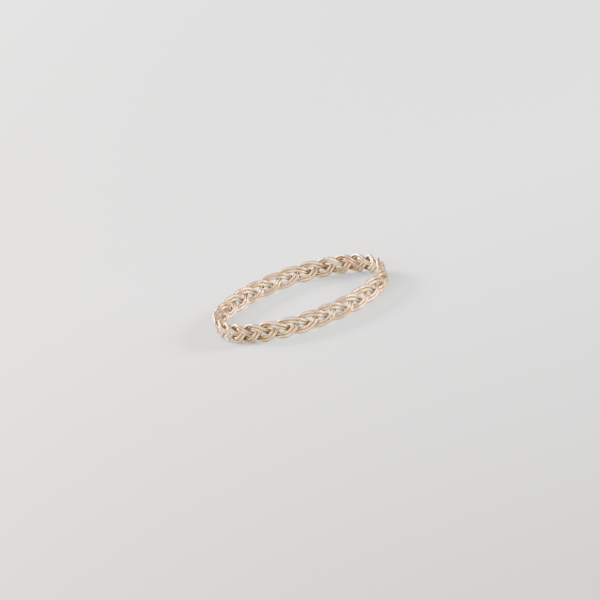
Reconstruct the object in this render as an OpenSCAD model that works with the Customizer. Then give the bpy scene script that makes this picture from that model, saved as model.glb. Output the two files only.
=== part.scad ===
// Thin braided finger ring: a flat plait of three strands, each strand a pair of fine round wires,
// closed into a band and lying flat on its side with the finger's axis along +Z.

/* [Band] */
// Outside diameter over the outermost wires
outer_d = 19.0; // [18:0.1:21]
// Width of the band along the finger's axis
band_w = 2.1; // [2.06:0.01:2.2]

/* [Wire] */
// Diameter of each round wire
wire_d = 0.34; // [0.28:0.01:0.34]
// Clear gap between the two wires of a strand
wire_gap = 0.03; // [0.03:0.005:0.04]

/* [Plait] */
// How far a strand swings in and out of the band's middle as it passes over and under
lift = 0.26; // [0.25:0.005:0.3]
// Angle round the ring, in degrees, of one crest of the first strand
crest_at = 90.8; // [90:0.1:91.2]
// Lag of the weave on the front half against the back half, in degrees of its own wave
front_lag = 60; // [0:1:60]
// Handmade unevenness in the spacing of the crests, in degrees of the weave's wave
unevenness = 4; // [0:0.5:5]

/* [Solder patch] */
// Angle round the ring, in degrees, of the middle of the patch
patch_at = 59; // [58.8:0.1:59.6]
// Length of the patch as an angle round the ring, in degrees
patch_arc = 12; // [6:0.1:12]
// Thickness of the patch
patch_t = 0.1; // [0.08:0.01:0.14]

/* [Hidden] */
strand_count = 3;
turns = 9;             // waves of each strand round the ring
// Share of each harmonic in the waves that the wires follow
corner = -0.08;        // third harmonic of the swing across the band: rounder crests
dive = -0.20;          // second harmonic of the lift: slow turns at the edges, a quick dive in the middle
plateau = 0.16;        // third harmonic of the lift: a longer, flatter over and under
tilt = 0.10;           // how much further out one wire of a pair lies than the other
jitter_waves = 5;      // bunchings of the crests round the ring
jitter_phase = 40;

// Each strand: lead of its wave in degrees, share of the full swing
LEAD = 0;
SWING = 1;
STRANDS = [
    [0, 1.00],
    [3, 0.98],
    [-3, 0.99],
];

wire_r = wire_d / 2;
pair_half = (wire_d + wire_gap) / 2;
full_swing = band_w / 2 - pair_half - wire_r;
lift_peak = max([for (q = [0:2:358], s = [-1, 1]) lift_wave(q, s)]);
mid_r = outer_d / 2 - lift * lift_peak - wire_r;

wire_sides = 6;
wire_rings = turns * 24;
patch_sides = 12;
patch_rings = 14;
patch_tip = 0.3;       // share of the full width left at the patch's two ends
tangent_step = 0.25;   // degrees either side of a point, for the wire's direction there

gold = [0.93, 0.79, 0.66];

// Wave of strand k at angle t round the ring, in degrees
function wave(k, t) = turns * (t - crest_at) + front_lag * (1 - sin(t)) / 2
    + unevenness * sin(jitter_waves * t + jitter_phase)
    - 360 / strand_count * k + STRANDS[k][LEAD];

// Change of that wave for each degree round the ring
function wave_rate(t) = turns - front_lag * cos(t) / 2 * PI / 180
    + unevenness * jitter_waves * cos(jitter_waves * t + jitter_phase) * PI / 180;

// Distance out from the band's middle, as a share of the lift, on side s of the pair (1 upper, -1 lower)
function lift_wave(q, s) =
    sin(2 * q) + dive * sin(4 * q) + plateau * sin(6 * q) - s * tilt * sin(3 * q);

// Height of the strand's middle above the band's middle, and its slope along the band
function swing(k) = full_swing * STRANDS[k][SWING] / (1 + corner);
function height(k, q) = swing(k) * (cos(q) + corner * cos(3 * q));
function slope(k, q, t) = -swing(k) * (sin(q) + 3 * corner * sin(3 * q)) * wave_rate(t) / mid_r;

// A point of the wire's centre line: the strand's middle, moved half the pair's pitch square to its run
function wire_at(k, s, t) =
    let (q = wave(k, t), m = slope(k, q, t), run = sqrt(1 + m * m),
         a = t - s * pair_half * m / run / mid_r * 180 / PI,
         r = mid_r + lift * lift_wave(q, s))
    [r * cos(a), r * sin(a), height(k, q) + s * pair_half / run];

// A point of the strand's own middle line, drawn in towards the finger by a given depth
function strand_at(k, t, depth) =
    let (q = wave(k, t), r = mid_r + lift * lift_wave(q, 0) - depth)
    [r * cos(t), r * sin(t), height(k, q)];

function unit(v) = v / norm(v);

// Ring of points round c, square to the direction run: half axes a up the band and b out from the axis
function section(c, run, a, b, sides) =
    let (radial = unit([c[0], c[1], 0]), up = unit(cross(radial, run)), out = unit(cross(run, up)))
    [for (j = [0:sides - 1]) c + a * cos(360 * j / sides) * up + b * sin(360 * j / sides) * out];

// Two triangles for each face of a tube whose sections follow one another
function strip(rings, sides, closed) =
    [for (i = [0:rings - (closed ? 1 : 2)], j = [0:sides - 1])
        let (n = (i + 1) % rings, o = (j + 1) % sides)
        each [[i * sides + j, n * sides + j, n * sides + o], [i * sides + j, n * sides + o, i * sides + o]]];

function wire_points(k, s) =
    [for (i = [0:wire_rings - 1])
        let (t = 360 * i / wire_rings,
             run = unit(wire_at(k, s, t + tangent_step) - wire_at(k, s, t - tangent_step)))
        each section(wire_at(k, s, t), run, wire_r, wire_r, wire_sides)];

// The patch lies on the inner side of the second strand, where that strand passes over the others
patch_strand = 1;
patch_half_w = pair_half + wire_r * 0.9;
patch_depth = wire_r + wire_gap + lift * tilt + patch_t / 2;

function patch_points() =
    [for (i = [0:patch_rings - 1])
        let (u = 2 * i / (patch_rings - 1) - 1,
             t = patch_at + u * patch_arc / 2,
             share = patch_tip + (1 - patch_tip) * sqrt(1 - u * u),
             run = unit(strand_at(patch_strand, t + tangent_step, patch_depth)
                 - strand_at(patch_strand, t - tangent_step, patch_depth)))
        each section(strand_at(patch_strand, t, patch_depth), run,
            patch_half_w * share, patch_t / 2 * share, patch_sides)];

// The ring's box is centred on the origin and its lowest point is at z = 0
ring_points = [for (k = [0:strand_count - 1], s = [-1, 1]) each wire_points(k, s)];
function low(axis) = min([for (p = ring_points) p[axis]]);
function high(axis) = max([for (p = ring_points) p[axis]]);
to_floor = [-(low(0) + high(0)) / 2, -(low(1) + high(1)) / 2, -low(2)];

// One closed wire of strand k, on side s of its pair
module wire(k, s) {
    color(gold)
        translate(to_floor)
            polyhedron(wire_points(k, s), strip(wire_rings, wire_sides, true));
}

module strand_1_upper_wire() wire(0, 1);
module strand_1_lower_wire() wire(0, -1);
module strand_2_upper_wire() wire(1, 1);
module strand_2_lower_wire() wire(1, -1);
module strand_3_upper_wire() wire(2, 1);
module strand_3_lower_wire() wire(2, -1);

module solder_patch() {
    first_end = [for (j = [0:patch_sides - 1]) j];
    last_end = [for (j = [0:patch_sides - 1]) patch_rings * patch_sides - 1 - j];
    color(gold)
        translate(to_floor)
            polyhedron(patch_points(),
                concat([first_end, last_end], strip(patch_rings, patch_sides, false)));
}

strand_1_upper_wire();
strand_1_lower_wire();
strand_2_upper_wire();
strand_2_lower_wire();
strand_3_upper_wire();
strand_3_lower_wire();
solder_patch();
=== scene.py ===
"""Braided ring: a flat plait of three strands, each a pair of fine round gold wires, resting on its side.

Run as a script inside Blender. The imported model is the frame: every piece made here stands for one of its
nodes and lies where that node lies.
"""

from math import cos, pi, radians, sin

import bpy
import numpy as np
from bpy.props import FloatProperty, FloatVectorProperty, IntProperty, PointerProperty
from bpy.types import Operator, Panel, PropertyGroup
from mathutils import Matrix, Vector


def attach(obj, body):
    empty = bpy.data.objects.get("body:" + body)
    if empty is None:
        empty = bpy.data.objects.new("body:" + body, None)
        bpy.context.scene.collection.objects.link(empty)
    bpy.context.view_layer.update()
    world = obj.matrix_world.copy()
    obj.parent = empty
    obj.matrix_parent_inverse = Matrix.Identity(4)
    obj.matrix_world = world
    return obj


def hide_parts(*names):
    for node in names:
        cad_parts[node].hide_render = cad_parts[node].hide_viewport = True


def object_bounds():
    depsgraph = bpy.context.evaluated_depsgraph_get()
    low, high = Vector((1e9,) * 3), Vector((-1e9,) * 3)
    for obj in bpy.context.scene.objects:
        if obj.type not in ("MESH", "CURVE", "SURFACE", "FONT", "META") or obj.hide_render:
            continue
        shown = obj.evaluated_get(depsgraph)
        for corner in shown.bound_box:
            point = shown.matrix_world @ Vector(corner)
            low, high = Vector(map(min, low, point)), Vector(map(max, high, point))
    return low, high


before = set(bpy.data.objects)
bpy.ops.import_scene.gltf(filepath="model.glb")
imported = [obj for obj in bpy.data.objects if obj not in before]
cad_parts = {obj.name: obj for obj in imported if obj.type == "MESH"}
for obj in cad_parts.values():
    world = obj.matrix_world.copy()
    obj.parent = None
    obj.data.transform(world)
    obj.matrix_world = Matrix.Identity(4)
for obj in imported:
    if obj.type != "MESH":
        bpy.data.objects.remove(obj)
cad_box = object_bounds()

bl_info = {
    "name": "Braided ring",
    "version": (1, 0, 0),
    "blender": (4, 5, 0),
    "location": "3D View > Sidebar > Ring",
    "description": "Makes a thin ring plaited from paired gold wires, with its solder patch and its stage",
    "category": "Object",
}

MM = 0.001


# ---- sizes and colours a user would change

class RingSizes(PropertyGroup):
    """Sizes of the ring, the same as in the part's own source"""

    outer_diameter: FloatProperty(
        name="Outer diameter", description="Across the outermost wires", default=19.0 * MM,
        unit="LENGTH")
    band_width: FloatProperty(
        name="Band width", description="Width of the band along the finger", default=2.1 * MM,
        unit="LENGTH")
    wire_diameter: FloatProperty(
        name="Wire", description="Diameter of each round wire", default=0.34 * MM, unit="LENGTH")
    wire_gap: FloatProperty(
        name="Gap", description="Clear gap between the two wires of a strand", default=0.03 * MM,
        unit="LENGTH")
    lift: FloatProperty(
        name="Lift", description="How far a strand swings in and out as it passes over and under",
        default=0.26 * MM, unit="LENGTH")
    turns: IntProperty(
        name="Turns", description="Waves of each strand round the ring", default=9)
    crest_at: FloatProperty(
        name="First crest", description="Angle round the ring of one crest of the first strand",
        default=radians(90.8), subtype="ANGLE")
    front_lag: FloatProperty(
        name="Front lag", description="Lag of the weave on the front half, as an angle of its own wave",
        default=radians(60), subtype="ANGLE")
    unevenness: FloatProperty(
        name="Unevenness", description="Handmade bunching of the crests, as an angle of the wave",
        default=radians(4), subtype="ANGLE")
    patch_at: FloatProperty(
        name="Patch place", description="Angle round the ring of the middle of the solder patch",
        default=radians(59), subtype="ANGLE")
    patch_arc: FloatProperty(
        name="Patch length", description="Length of the solder patch as an angle round the ring",
        default=radians(12), subtype="ANGLE")
    patch_thickness: FloatProperty(
        name="Patch thickness", description="Thickness of the solder patch", default=0.1 * MM,
        unit="LENGTH")


class RingFinish(PropertyGroup):
    """Colours and roughness of the metal"""

    gold: FloatVectorProperty(
        name="Gold", description="Main colour of the wires", default=(0.477, 0.403, 0.240),
        size=3, min=0, max=1, subtype="COLOR")
    rosy_gold: FloatVectorProperty(
        name="Rosy gold", description="Warmer tone that comes and goes along the wires",
        default=(0.496, 0.362, 0.266), size=3, min=0, max=1, subtype="COLOR")
    # painted shade: this dark colour is mixed into the wires where strands lie close, and on the solder it
    # is the darker tone of the mottling and the pits
    shade_and_dull_gold: FloatVectorProperty(
        name="Deep gold", description="Dull tone of the metal down between the strands",
        default=(0.175, 0.166, 0.155), size=3, min=0, max=1, subtype="COLOR")
    solder: FloatVectorProperty(
        name="Solder", description="Colour of the solder patch", default=(1.0, 0.82, 0.43), size=3,
        min=0, max=1, subtype="COLOR")
    polish: FloatProperty(
        name="Roughness", description="Roughness of the satin wires", default=0.47, min=0, max=1,
        subtype="FACTOR")
    solder_roughness: FloatProperty(
        name="Solder roughness", description="Roughness of the solder patch", default=0.33, min=0, max=1,
        subtype="FACTOR")


class StageLook(PropertyGroup):
    """Floor, light and camera"""

    floor: FloatVectorProperty(
        name="Floor", description="Colour of the floor", default=(0.450, 0.637, 0.985), size=3,
        min=0, max=1, subtype="COLOR")
    near_shade: FloatProperty(
        name="Near shade", description="How much of its colour the floor keeps far in front of the ring",
        default=0.50, min=0, max=1, subtype="FACTOR")
    room_light: FloatProperty(
        name="Room light", description="Strength of the even light from all round", default=0.30, min=0)
    room_colour: FloatVectorProperty(
        name="Room colour", description="Colour of the even light from all round",
        default=(1.0, 0.84, 0.69), size=3, min=0, max=1, subtype="COLOR")
    lamp_power: FloatProperty(
        name="Lamps", description="Power that the soft lights' shares are taken of", default=6.7,
        min=0, unit="POWER")
    lamp_colour: FloatVectorProperty(
        name="Lamp colour", description="Warm colour of the soft lights", default=(1.0, 0.705, 0.45),
        size=3, min=0, max=1, subtype="COLOR")
    elevation: FloatProperty(
        name="Camera elevation", description="How far above the floor the camera looks from",
        default=radians(16.1), subtype="ANGLE")
    roll: FloatProperty(
        name="Camera roll", description="Turn of the picture about the line of sight",
        default=radians(-18.5), subtype="ANGLE")


# ---- the plait's own geometry

class Plait:
    """The waves that the strands follow, in metres and radians, before the ring is put on the floor."""

    strand_count = 3
    corner = -0.08        # third harmonic of the swing across the band
    dive = -0.20          # second harmonic of the lift
    plateau = 0.16        # third harmonic of the lift
    tilt = 0.10           # how much further out one wire of a pair lies than the other
    jitter_waves = 5      # bunchings of the crests round the ring
    jitter_phase = radians(40)
    leads = (0.0, radians(3), radians(-3))     # of each strand's wave
    swings = (1.00, 0.98, 0.99)                # each strand's share of the full swing

    def __init__(self, sizes):
        self.sizes = sizes
        self.wire_r = sizes.wire_diameter / 2
        self.pair_half = (sizes.wire_diameter + sizes.wire_gap) / 2
        self.full_swing = sizes.band_width / 2 - self.pair_half - self.wire_r
        q = np.radians(np.arange(0, 360, 2))   # the phases at which the source looks for the peak
        peak = max(self.lift_wave(q, side).max() for side in (-1, 1))
        self.mid_r = sizes.outer_diameter / 2 - sizes.lift * peak - self.wire_r

    def wave(self, k, t):
        """Phase of strand k at angle t: turns times the angle past the first crest, plus a lag that is full
        at the front and nil at the back, a small bunching, and the strand's share of a whole turn."""
        s = self.sizes
        return (s.turns * (t - s.crest_at) + s.front_lag * (1 - np.sin(t)) / 2
                + s.unevenness * np.sin(self.jitter_waves * t + self.jitter_phase)
                - 2 * pi / self.strand_count * k + self.leads[k])

    def wave_rate(self, t):
        """Change of the phase with the angle t, the derivative of wave."""
        s = self.sizes
        return (s.turns - s.front_lag * np.cos(t) / 2
                + s.unevenness * self.jitter_waves * np.cos(self.jitter_waves * t + self.jitter_phase))

    def lift_wave(self, q, side):
        """Distance out from the band's middle as a share of the lift: two overs and two unders to a wave,
        sharpened by two harmonics, and a tilt that sets one wire of the pair further out."""
        return (np.sin(2 * q) + self.dive * np.sin(4 * q) + self.plateau * np.sin(6 * q)
                - side * self.tilt * np.sin(3 * q))

    def swing(self, k):
        """Size of the cosine in strand k's height, so that its crests reach its share of the full swing."""
        return self.full_swing * self.swings[k] / (1 + self.corner)

    def height(self, k, q):
        """Height of the strand's middle: the cosine of its phase, rounded at the crests by the third
        harmonic."""
        return self.swing(k) * (np.cos(q) + self.corner * np.cos(3 * q))

    def wire_line(self, k, side, t):
        """Centre line of one wire: the strand's middle line, moved half the pair's pitch square to its run
        within the band's own cylinder."""
        q = self.wave(k, t)
        slope = (-self.swing(k) * (np.sin(q) + 3 * self.corner * np.sin(3 * q))
                 * self.wave_rate(t) / self.mid_r)
        run = np.sqrt(1 + slope ** 2)
        angle = t - side * self.pair_half * slope / run / self.mid_r
        radius = self.mid_r + self.sizes.lift * self.lift_wave(q, side)
        return np.stack((radius * np.cos(angle), radius * np.sin(angle),
                         self.height(k, q) + side * self.pair_half / run), -1)

    def strand_line(self, k, t, depth):
        """Middle line of a strand, drawn in towards the finger by depth."""
        q = self.wave(k, t)
        radius = self.mid_r + self.sizes.lift * self.lift_wave(q, 0) - depth
        return np.stack((radius * np.cos(t), radius * np.sin(t), self.height(k, q)), -1)


def unit(v):
    """Each vector divided by its own length."""
    return v / np.linalg.norm(v, axis=-1, keepdims=True)


def tube(line, run, half_up, half_out, sides):
    """Rings of points round a line: the line's point, plus half_up times the cosine of the angle round the
    section in the up direction, plus half_out times its sine in the direction out from the axis."""
    radial = unit(line * (1, 1, 0))
    up = unit(np.cross(radial, run))
    out = np.cross(run, up)
    a = np.linspace(0, 2 * pi, sides, endpoint=False)[None, :, None]
    half_up, half_out = (np.reshape(h, (-1, 1, 1)) for h in (half_up, half_out))
    return line[:, None] + half_up * np.cos(a) * up[:, None] + half_out * np.sin(a) * out[:, None]


def grid_faces(rings, sides, closed):
    """Four-sided faces between neighbouring rings, facing outwards; a closed grid joins its last ring to
    its first."""
    i, j = np.meshgrid(np.arange(rings if closed else rings - 1), np.arange(sides), indexing="ij")
    n, o = (i + 1) % rings, (j + 1) % sides
    return np.stack((i * sides + j, i * sides + o, n * sides + o, n * sides + j), -1).reshape(-1, 4)


def place_on_floor(wire_grids):
    """Move that puts the six wires' common box where the frame's box is: centred on it, and with the
    lowest points level."""
    points = np.concatenate([g.reshape(-1, 3) for g in wire_grids])
    low, high = points.min(0), points.max(0)
    cad_low, cad_high = np.array(cad_box)
    move = (cad_low + cad_high - low - high) / 2
    move[2] = cad_low[2] - low[2]
    return move


def mesh_object(name, points, faces, attributes=()):
    """A mesh with its place in its points, smooth shading, and a number at each point for every named
    attribute."""
    mesh = bpy.data.meshes.new(name)
    mesh.from_pydata(points.reshape(-1, 3).tolist(), [], faces.tolist())
    for key, values in attributes:
        mesh.attributes.new(key, "FLOAT", "POINT").data.foreach_set("value", values.ravel().astype("f"))
    mesh.update()
    mesh.shade_smooth()
    obj = bpy.data.objects.new(name, mesh)
    bpy.context.collection.objects.link(obj)
    return obj


# ---- shader maths as Python expressions

class Shade:
    """A node socket that Python's own signs work on: each adds one Math node."""

    def __init__(self, tree, socket):
        self.tree, self.socket = tree, socket

    def math(self, operation, *values):
        node = self.tree.add("ShaderNodeMath", {"operation": operation}, dict(enumerate(values)))
        return Shade(self.tree, node.outputs[0])

    def __add__(self, other):
        return self.math("ADD", self, other)

    __radd__ = __add__

    def __sub__(self, other):
        return self.math("SUBTRACT", self, other)

    def __rsub__(self, other):
        return self.math("SUBTRACT", other, self)

    def __mul__(self, other):
        return self.math("MULTIPLY", self, other)

    def __pow__(self, other):
        return self.math("POWER", self, other)

    def clamped(self):
        node = self.tree.add("ShaderNodeClamp", {}, {"Value": self})
        return Shade(self.tree, node.outputs[0])


class ShadeTree:
    """A material's nodes: add makes one node from its type, its settings, and values or links."""

    def __init__(self, name):
        self.material = bpy.data.materials.new(name)
        self.material.use_nodes = True
        self.nodes = self.material.node_tree.nodes
        self.links = self.material.node_tree.links
        self.shader = self.nodes["Principled BSDF"]

    def add(self, kind, settings=None, sockets=None):
        node = self.nodes.new(kind)
        for key, value in (settings or {}).items():
            setattr(node, key, value)
        self.feed(node, sockets or {})
        return node

    def feed(self, node, sockets):
        for key, value in sockets.items():
            if isinstance(value, Shade):
                self.links.new(value.socket, node.inputs[key])
            else:
                node.inputs[key].default_value = value

    def out(self, node, name=0):
        return Shade(self, node.outputs[name])

    def attribute(self, name):
        return self.out(self.add("ShaderNodeAttribute", {"attribute_name": name}), "Fac")

    def object_place(self):
        return self.out(self.add("ShaderNodeTexCoord"), "Object")

    def scaled(self, vector, scale):
        node = self.add("ShaderNodeVectorMath", {"operation": "MULTIPLY"}, {0: vector, 1: scale})
        return self.out(node)

    def noise(self, vector, scale, detail=2.0):
        node = self.add("ShaderNodeTexNoise", {}, {"Vector": vector, "Scale": scale, "Detail": detail})
        return self.out(node, "Fac")

    def mix(self, factor, a, b):
        node = self.add("ShaderNodeMix", {"data_type": "RGBA"})
        self.feed(node, {0: factor})
        self.feed(node, {key: value if isinstance(value, Shade) else (*value, 1)
                         for key, value in ((6, a), (7, b))})
        return self.out(node, 2)

    def bump(self, height, strength, distance):
        return self.out(self.add("ShaderNodeBump", {}, {
            "Strength": strength, "Distance": distance, "Height": height}))


NOISE_MIDDLE = 0.5               # the value that a noise varies about; noise scales are per metre

DRIFT_SCALE = 560                # the two golds come and go along the wires
DRIFT_CONTRAST = 3
GRAIN_SCALE = 9000               # fine grain of the wires' surface
GRAIN_DETAIL = 3
DRAWING_SCALE = (400, 26000, 1)  # lines drawn out along a wire: scales along it and round it
GRAIN_ROUGHNESS = 0.06           # how far the grain and the drawing lines change the roughness
DRAWING_ROUGHNESS = 0.05
CLOSE_ROUGHNESS = 0.18           # roughness gained where strands touch
DRAWING_HEIGHT = 0.7             # shares of the bump
GRAIN_HEIGHT = 0.3
WIRE_BUMP = (0.12, 2e-6)         # strength, and height in metres


def wire_metal(finish):
    """Satin gold: two tones that drift along the wires, painted shade and duller metal where strands lie
    close, and faint drawing lines that run along each wire."""
    tree = ShadeTree("satin_wire")
    place = tree.object_place()
    close = tree.attribute("closeness")
    drift = ((tree.noise(place, DRIFT_SCALE) - NOISE_MIDDLE) * DRIFT_CONTRAST + NOISE_MIDDLE).clamped()
    body = tree.mix(drift, finish.gold, finish.rosy_gold)
    grain = tree.noise(place, GRAIN_SCALE, GRAIN_DETAIL)
    along = tree.out(tree.add("ShaderNodeUVMap", {"uv_map": "along_wire"}))
    drawing = tree.noise(tree.scaled(along, DRAWING_SCALE), 1.0, GRAIN_DETAIL)
    tree.feed(tree.shader, {
        # painted shade: the colour darkens where strands lie close
        "Base Color": tree.mix(close, body, finish.shade_and_dull_gold),
        "Metallic": 1.0,
        "Roughness": (finish.polish + (grain - NOISE_MIDDLE) * GRAIN_ROUGHNESS
                      + (drawing - NOISE_MIDDLE) * DRAWING_ROUGHNESS + close ** 2 * CLOSE_ROUGHNESS),
        "Normal": tree.bump(drawing * DRAWING_HEIGHT + grain * GRAIN_HEIGHT, *WIRE_BUMP),
    })
    return tree.material


MOTTLE_SCALE = 2600              # blotches on the solder
MOTTLE_DETAIL = 3
PIT_SCALE = 9000
PIT_LEVEL = 0.62                 # noise value above which a pit starts
PIT_EDGE = 6                     # how steeply it deepens above that
MARK_SCALE = (2500, 2500, 26000)     # file marks: fine up the band and long round it
MOTTLE_DULL = 0.5                # shares of the dull tone in the mottling and in a pit
PIT_DULL = 0.4
MOTTLE_ROUGHNESS = 0.16          # how far the mottling and the pits change the roughness
PIT_ROUGHNESS = 0.2
MARK_HEIGHT = 0.6                # shares of the bump
PIT_DEPTH = 0.8
SOLDER_BUMP = (0.25, 4e-6)       # strength, and height in metres


def solder_metal(finish):
    """Solder filed flat: a paler, shinier gold than the wires', with a dull mottling, small pits and file
    marks."""
    tree = ShadeTree("filed_solder")
    place = tree.object_place()
    mottle = tree.noise(place, MOTTLE_SCALE, MOTTLE_DETAIL)
    pits = ((tree.noise(place, PIT_SCALE) - PIT_LEVEL) * PIT_EDGE).clamped()
    marks = tree.noise(tree.scaled(place, MARK_SCALE), 1.0)
    tree.feed(tree.shader, {
        "Base Color": tree.mix(mottle * MOTTLE_DULL + pits * PIT_DULL, finish.solder, finish.shade_and_dull_gold),
        "Metallic": 1.0,
        "Roughness": (finish.solder_roughness + (mottle - NOISE_MIDDLE) * MOTTLE_ROUGHNESS
                      + pits * PIT_ROUGHNESS),
        "Normal": tree.bump(marks * MARK_HEIGHT - pits * PIT_DEPTH, *SOLDER_BUMP),
    })
    return tree.material


# ---- pieces

WIRE_RINGS = 648         # rings of points along each wire
WIRE_SIDES = 20          # points in each ring
SEARCH_STEP = 3          # every third ring of the other strands is enough to find the nearest one
CLOSE_RANGE = 0.24 * MM  # gap between two strands over which the metal between them turns dull and takes painted shade
TANGENT_STEP = radians(0.25)     # either side of a point, for the wire's direction there
SIDES = {"upper": 1, "lower": -1}        # of a pair, by the word in the node's name


def wire_names():
    """Node name, strand and side of each wire."""
    return [(f"strand_{k + 1}_{word}_wire", k, side) for k in range(Plait.strand_count)
            for word, side in SIDES.items()]


def closeness(grid, other_lines, wire_r):
    """1 where a point of the surface touches another strand, falling to 0 as a bell over the close range:
    the distance to the nearest wire's centre line of another strand, less a wire's radius."""
    p = grid.reshape(-1, 3)
    square = (p ** 2).sum(1)[:, None] + (other_lines ** 2).sum(1)[None] - 2 * p @ other_lines.T
    gap = np.sqrt(np.maximum(square.min(1), 0)) - wire_r
    return np.exp(-(np.maximum(gap, 0) / CLOSE_RANGE) ** 2)


def lay_uv(mesh, rings, sides, length, girth):
    """UV map along_wire in metres: u along the wire and v round it, with no jump at the seams."""
    i, j = np.meshgrid(np.arange(rings), np.arange(sides), indexing="ij")
    u = np.stack((i, i, i + 1, i + 1), -1) * length / rings
    v = np.stack((j, j + 1, j + 1, j), -1) * girth / sides
    layer = mesh.uv_layers.new(name="along_wire")
    layer.data.foreach_set("uv", np.stack((u, v), -1).astype("f").ravel())


class RING_OT_plait_wires(Operator):
    """Make the six round wires of the plait, in place of the frame's own"""

    bl_idname = "braided_ring.plait_wires"
    bl_label = "Plait the wires"

    def execute(self, context):
        plait = Plait(context.scene.ring_sizes)
        t = np.linspace(0, 2 * pi, WIRE_RINGS, endpoint=False)
        grids, lines = {}, {}
        for name, k, side in wire_names():
            line = plait.wire_line(k, side, t)
            run = unit(plait.wire_line(k, side, t + TANGENT_STEP)
                       - plait.wire_line(k, side, t - TANGENT_STEP))
            grids[name], lines[name] = tube(line, run, plait.wire_r, plait.wire_r, WIRE_SIDES), line
        move = place_on_floor(grids.values())
        context.scene["ring_move"] = move.tolist()
        metal = wire_metal(context.scene.ring_finish)
        faces = grid_faces(WIRE_RINGS, WIRE_SIDES, True)
        for name, k, _ in wire_names():
            others = np.concatenate([lines[other][::SEARCH_STEP]
                                     for other, strand, _ in wire_names() if strand != k])
            close = closeness(grids[name], others, plait.wire_r)
            wire = mesh_object(name.replace("_wire", "_round_wire"), grids[name] + move, faces,
                               [("closeness", close)])
            length = np.linalg.norm(np.diff(lines[name], axis=0, append=lines[name][:1]), axis=1).sum()
            lay_uv(wire.data, WIRE_RINGS, WIRE_SIDES, length, 2 * pi * plait.wire_r)
            wire.data.materials.append(metal)
            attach(wire, "root")
            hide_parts(name)
        return {"FINISHED"}


PATCH_RINGS = 40         # rings of points along the patch, closer together towards its ends
PATCH_SIDES = 32         # points in each ring
PATCH_STRAND = 1         # the second strand, on its inner side
PATCH_OVERLAP = 0.9      # share of a wire's radius that the patch covers past the pair's middle lines
PATCH_SHOULDER = 0.35    # power of the patch's outline: lower is squarer


class RING_OT_lay_patch(Operator):
    """Make the thin solder patch on the inner side of the second strand, in place of the frame's own"""

    bl_idname = "braided_ring.lay_patch"
    bl_label = "Lay the solder patch"

    def execute(self, context):
        sizes = context.scene.ring_sizes
        plait = Plait(sizes)
        depth = plait.wire_r + sizes.wire_gap + sizes.lift * plait.tilt + sizes.patch_thickness / 2
        u = -np.cos(np.linspace(0, pi, PATCH_RINGS + 2))[1:-1]
        t = sizes.patch_at + u * sizes.patch_arc / 2
        share = (1 - u ** 2) ** PATCH_SHOULDER
        line = plait.strand_line(PATCH_STRAND, t, depth)
        run = unit(plait.strand_line(PATCH_STRAND, t + TANGENT_STEP, depth)
                   - plait.strand_line(PATCH_STRAND, t - TANGENT_STEP, depth))
        half_width = plait.pair_half + plait.wire_r * PATCH_OVERLAP
        grid = tube(line, run, half_width * share, sizes.patch_thickness / 2 * share, PATCH_SIDES)
        ends = sizes.patch_at + np.array((-1, 1)) * sizes.patch_arc / 2
        tips = plait.strand_line(PATCH_STRAND, ends, depth)
        points = np.concatenate((grid.reshape(-1, 3), tips)) + np.array(context.scene["ring_move"])
        j = np.arange(PATCH_SIDES)
        o, last = (j + 1) % PATCH_SIDES, (PATCH_RINGS - 1) * PATCH_SIDES
        first_tip, last_tip = (np.full(PATCH_SIDES, len(points) - n) for n in (2, 1))
        faces = (grid_faces(PATCH_RINGS, PATCH_SIDES, False).tolist()
                 + np.stack((first_tip, o, j), -1).tolist()
                 + np.stack((last_tip, last + j, last + o), -1).tolist())
        patch = mesh_object("solder_puddle", points, np.array(faces, dtype=object))
        patch.data.materials.append(solder_metal(context.scene.ring_finish))
        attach(patch, "root")
        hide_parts("solder_patch")
        return {"FINISHED"}


FLOOR_HALF = 1.6         # metres each way
SHADE_AT_RING = 0.2      # share of the floor's near shade at the ring's middle
FLOOR_FADE = 8.0         # share gained for each metre nearer the camera
FLOOR_ROUGHNESS = 0.6
FRAME_PX = 600           # side of the square picture
PX_PER_MM = 9.55         # scale of the ring in it
AIM_PX = (0.52, 2.38)    # how far right and up of the picture's middle the ring's centre stands
CAMERA_DISTANCE = 0.40   # metres from the ring
SENSOR = 36.0            # millimetres across

# Soft lights: share of the lamps' power, size, and place in metres; each one faces the ring
LIGHTS = {
    "overhead_softbox": (0.22, (0.60, 0.60), (-0.10, 0.10, 0.40)),
    "front_right_box": (1.22, (0.12, 0.10), (0.31, -0.15, 0.13)),
    "back_left_box": (2.85, (0.16, 0.13), (-0.29, 0.45, 0.18)),
    "front_left_fill": (0.95, (0.45, 0.30), (-0.28, -0.26, 0.20)),
}


def soft_light(name, power, colour, size, place):
    """A rectangular lamp at place that faces the ring."""
    light = bpy.data.lights.new(name, "AREA")
    light.shape = "RECTANGLE"
    light.size, light.size_y = size
    light.energy = power
    light.color = colour
    obj = bpy.data.objects.new(name, light)
    bpy.context.collection.objects.link(obj)
    obj.location = place
    obj.rotation_euler = (-Vector(place)).to_track_quat("-Z", "Y").to_euler()


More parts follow.
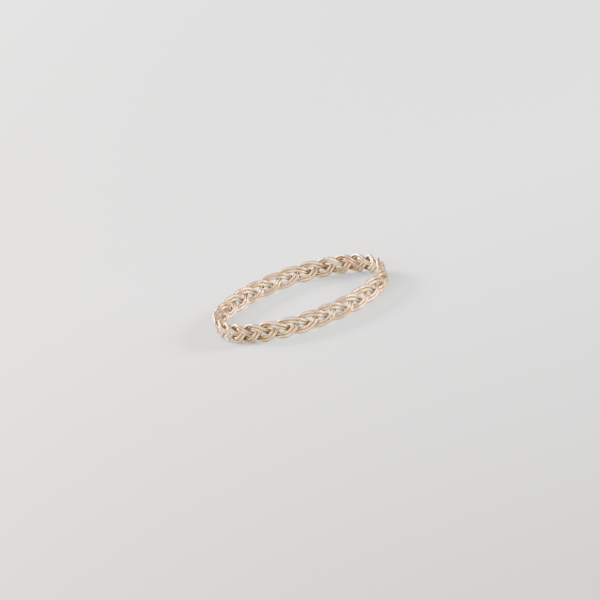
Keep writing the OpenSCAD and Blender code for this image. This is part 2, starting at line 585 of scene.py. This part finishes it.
def aim_camera(look):
    """A camera in front of the ring, above the floor, turned about its own line of sight, with the ring's
    middle a little off the picture's."""
    low, high = (Vector(c) for c in cad_box)
    right = Vector((1, 0, 0))
    forward = Vector((0, cos(look.elevation), -sin(look.elevation)))
    up = right.cross(forward)
    turned_right = right * cos(look.roll) + up * sin(look.roll)
    turned_up = up * cos(look.roll) - right * sin(look.roll)
    metres_per_px = MM / PX_PER_MM
    data = bpy.data.cameras.new("camera")
    data.sensor_width = SENSOR
    data.lens = SENSOR * CAMERA_DISTANCE / (FRAME_PX * metres_per_px)
    data.dof.use_dof = False
    camera = bpy.data.objects.new("camera", data)
    bpy.context.collection.objects.link(camera)
    place = ((low + high) / 2 - forward * CAMERA_DISTANCE
             - turned_right * AIM_PX[0] * metres_per_px - turned_up * AIM_PX[1] * metres_per_px)
    camera.matrix_world = Matrix.Translation(place) @ Matrix(
        (turned_right, turned_up, -forward)).transposed().to_4x4()
    bpy.context.scene.camera = camera


class RING_OT_set_stage(Operator):
    """Set the plain floor, the soft lights and the camera"""

    bl_idname = "braided_ring.set_stage"
    bl_label = "Set the stage"

    def execute(self, context):
        look = context.scene.ring_stage
        corners = FLOOR_HALF * np.array(((-1, -1, 0), (1, -1, 0), (1, 1, 0), (-1, 1, 0)), float)
        floor = mesh_object("floor", corners, np.array([[0, 1, 2, 3]]))
        tree = ShadeTree("pale_floor")
        away = tree.out(tree.add("ShaderNodeSeparateXYZ", {}, {0: tree.object_place()}), "Y")
        # painted shade: the floor's colour darkens towards the camera, standing in for the lamps' falloff
        near = (SHADE_AT_RING - away * FLOOR_FADE).clamped()
        tree.feed(tree.shader, {
            "Base Color": tree.mix(near, look.floor, tuple(look.near_shade * c for c in look.floor)),
            "Roughness": FLOOR_ROUGHNESS,
        })
        floor.data.materials.append(tree.material)
        world = bpy.data.worlds.new("room")
        world.use_nodes = True
        sky = world.node_tree.nodes["Background"]
        sky.inputs["Color"].default_value = (*look.room_colour, 1)
        sky.inputs["Strength"].default_value = look.room_light
        context.scene.world = world
        for name, (share, size, place) in LIGHTS.items():
            soft_light(name, share * look.lamp_power, look.lamp_colour, size, place)
        aim_camera(look)
        return {"FINISHED"}


class RING_PT_panel(Panel):
    """Sizes, finish and stage of the braided ring"""

    bl_label = "Braided ring"
    bl_idname = "RING_PT_panel"
    bl_space_type = "VIEW_3D"
    bl_region_type = "UI"
    bl_category = "Ring"

    def draw(self, context):
        for group in GROUPS:
            box = self.layout.box()
            values = getattr(context.scene, group)
            for key in values.__annotations__:
                box.prop(values, key)
        for operator in STEPS:
            self.layout.operator(operator.bl_idname)


GROUPS = {"ring_sizes": RingSizes, "ring_finish": RingFinish, "ring_stage": StageLook}
STEPS = (RING_OT_plait_wires, RING_OT_lay_patch, RING_OT_set_stage)
CLASSES = (*GROUPS.values(), *STEPS, RING_PT_panel)


def register():
    for cls in CLASSES:
        bpy.utils.register_class(cls)
    for name, group in GROUPS.items():
        setattr(bpy.types.Scene, name, PointerProperty(type=group))


def unregister():
    for name in GROUPS:
        delattr(bpy.types.Scene, name)
    for cls in reversed(CLASSES):
        bpy.utils.unregister_class(cls)


def main():
    register()
    bpy.ops.braided_ring.plait_wires()
    bpy.ops.braided_ring.lay_patch()
    bpy.ops.braided_ring.set_stage()


if __name__ == "__main__":
    main()
